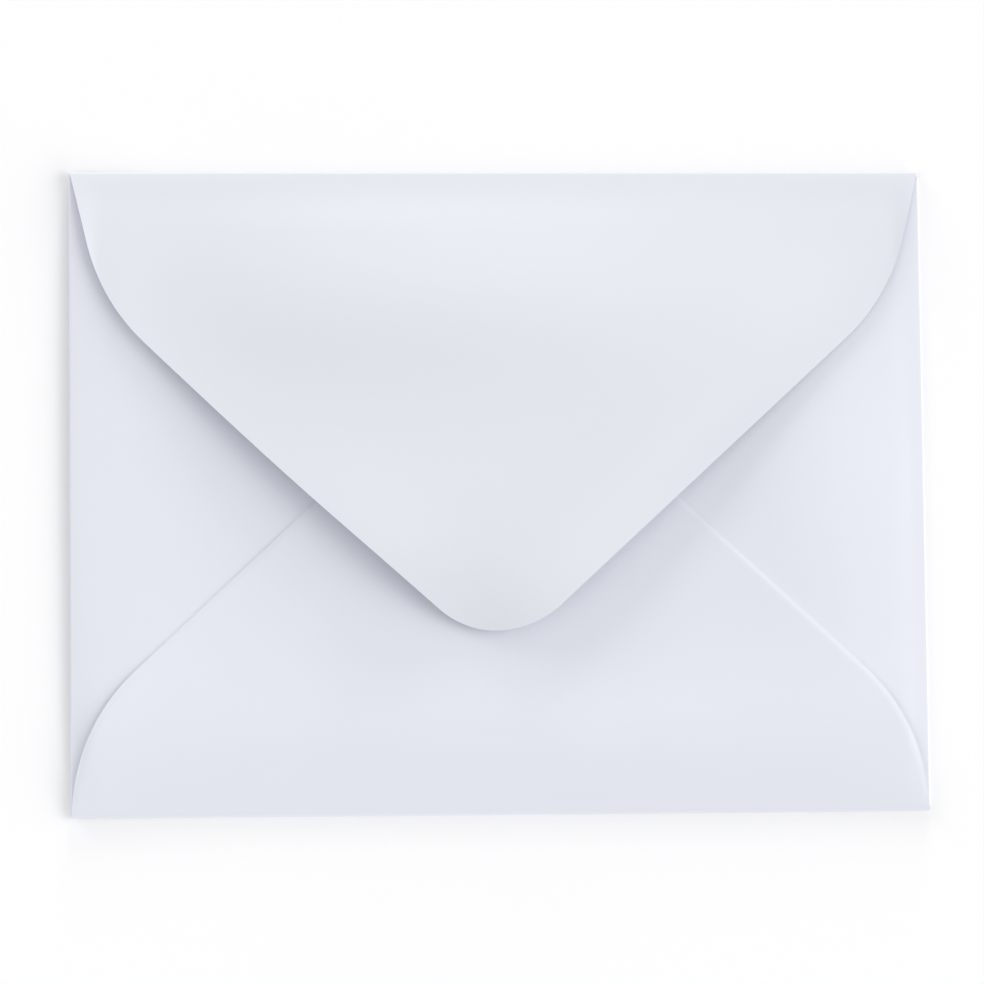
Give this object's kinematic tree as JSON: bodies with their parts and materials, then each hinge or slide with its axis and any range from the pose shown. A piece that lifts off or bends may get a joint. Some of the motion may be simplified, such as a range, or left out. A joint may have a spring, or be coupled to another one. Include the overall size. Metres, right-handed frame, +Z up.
{
  "type": "paper envelope",
  "caption": "Empty paper envelope folded from a sheet, lying on its front panel, with a deep V-shaped flap that springs up over glued side and bottom flaps.",
  "frame": {"origin": "middle of the front panel's outer face, which is the bottom of the part's box", "axes": "+X to the right and +Y to the top fold, seen from the flaps' side; +Z up, from the front panel to the flaps"},
  "size_m": [0.146, 0.11, 0.0065],
  "materials": {
    "paper": "smooth uncoated wove, faintly bluish white"
  },
  "bodies": {
    "root": {"envelope": "paper"}
  },
  "joints": []
}
